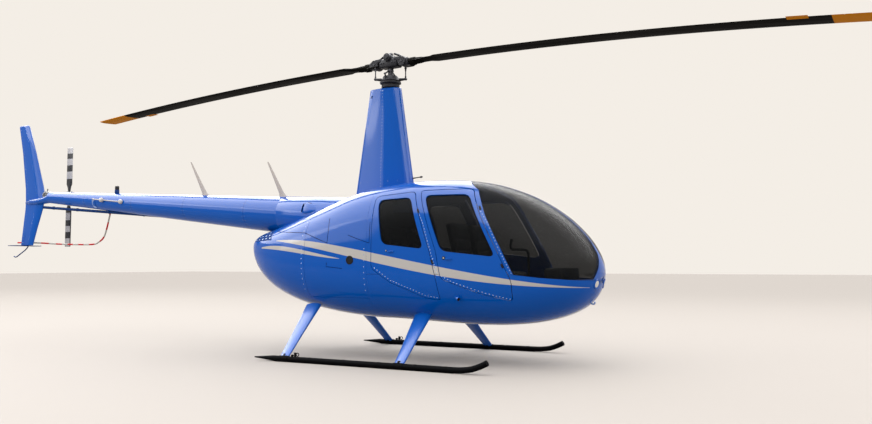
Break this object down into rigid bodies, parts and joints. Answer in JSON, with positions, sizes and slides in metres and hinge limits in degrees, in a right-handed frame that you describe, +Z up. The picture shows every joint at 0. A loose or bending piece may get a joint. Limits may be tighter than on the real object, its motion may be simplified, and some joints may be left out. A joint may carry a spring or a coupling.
{
  "type": "light four-seat helicopter",
  "caption": "Light helicopter with a two-blade teetering rotor on a tall faired mast, a rounded cabin with four doors, a slim tail boom and skids.",
  "frame": {"origin": "on the ground under the middle of the whole machine's box, the rotor mast 0.712 m ahead of it", "axes": "+X forward to the nose, +Y to port, +Z up"},
  "size_m": [11.4765, 2.1444, 3.36],
  "materials": {
    "blue_paint": "glossy cobalt blue paint over aluminium and glass fibre skin",
    "black_paint": "satin black paint",
    "tinted_glass": "grey tinted acrylic sheet",
    "dark_trim": "dark matt trim and carpet",
    "seat_leather": "black leather",
    "steel": "machined steel",
    "grey_paint": "light grey paint",
    "red_paint": "red paint with white bands",
    "engine_metal": "cast grey metal"
  },
  "bodies": {
    "airframe": {"ball_aerial": "grey_paint", "beacon": "black_paint", "belly_cowl": "blue_paint", "boom_root_fairing": "blue_paint", "cabin_floor": "dark_trim", "cabin_frame": "blue_paint", "cabin_lower_skin": "blue_paint", "cyclic_stick": "dark_trim", "engine_block": "engine_metal", "engine_cowl_left": "blue_paint", "engine_cowl_right": "blue_paint", "fin_joint_fairing": "blue_paint", "firewall": "dark_trim", "fixed_swashplate": "black_paint", "front_aerial": "grey_paint", "front_leg_left": "blue_paint", "front_leg_right": "blue_paint", "front_seat_base": "dark_trim", "front_seat_left": "seat_leather", "front_seat_right": "seat_leather", "instrument_console": "dark_trim", "lower_fin": "blue_paint", "lower_fin_plate": "black_paint", "mast_fairing": "blue_paint", "rear_aerial": "grey_paint", "rear_grille": "blue_paint", "rear_leg_left": "blue_paint", "rear_leg_right": "blue_paint", "rear_seat_base": "dark_trim", "rear_seat_left": "seat_leather", "rear_seat_right": "seat_leather", "skid_left": "black_paint", "skid_right": "black_paint", "tail_boom": "blue_paint", "tail_cowl": "blue_paint", "tail_gearbox": "black_paint", "tail_rotor_guard": "red_paint", "tail_skid": "black_paint", "under_boom_tube": "blue_paint", "upper_fin": "blue_paint", "windshield_bow": "blue_paint", "windshield_left": "tinted_glass", "windshield_right": "tinted_glass"},
    "main_rotor": {"rotor_mast": "steel", "turning_swashplate": "black_paint", "rotor_hub": "black_paint", "main_blade_front": "black_paint", "main_blade_rear": "black_paint"},
    "tail_rotor": {"tail_rotor_hub": "steel", "tail_blade_upper": "black_paint", "tail_blade_lower": "black_paint"},
    "front_door_right": {"front_door_right": "blue_paint", "front_door_glass_right": "tinted_glass"},
    "front_door_left": {"front_door_left": "blue_paint", "front_door_glass_left": "tinted_glass"},
    "rear_door_right": {"rear_door_right": "blue_paint", "rear_door_glass_right": "tinted_glass"},
    "rear_door_left": {"rear_door_left": "blue_paint", "rear_door_glass_left": "tinted_glass"}
  },
  "joints": [
    {"name": "main_rotor_spin", "type": "hinge", "parent": "airframe", "child": "main_rotor", "pos_m": [0.7119, 0, 3.227], "axis": [0, 0, 1], "continuous": true},
    {"name": "tail_rotor_spin", "type": "hinge", "parent": "airframe", "child": "tail_rotor", "pos_m": [-5.0381, 0.37, 1.987], "axis": [0, 1, 0], "continuous": true},
    {"name": "front_door_right_hinge", "type": "hinge", "parent": "airframe", "child": "front_door_right", "pos_m": [2.0399, -0.592, 1.535], "axis": [-0.4561, 0.0868, 0.8857], "range_deg": [0, 75]},
    {"name": "front_door_left_hinge", "type": "hinge", "parent": "airframe", "child": "front_door_left", "pos_m": [2.0399, 0.592, 1.535], "axis": [0.4561, 0.0868, -0.8857], "range_deg": [0, 75]},
    {"name": "rear_door_right_hinge", "type": "hinge", "parent": "airframe", "child": "rear_door_right", "pos_m": [1.4009, -0.628, 1.523], "axis": [-0.3137, 0.0597, 0.9477], "range_deg": [0, 70]},
    {"name": "rear_door_left_hinge", "type": "hinge", "parent": "airframe", "child": "rear_door_left", "pos_m": [1.4009, 0.628, 1.523], "axis": [0.3137, 0.0597, -0.9477], "range_deg": [0, 70]}
  ]
}
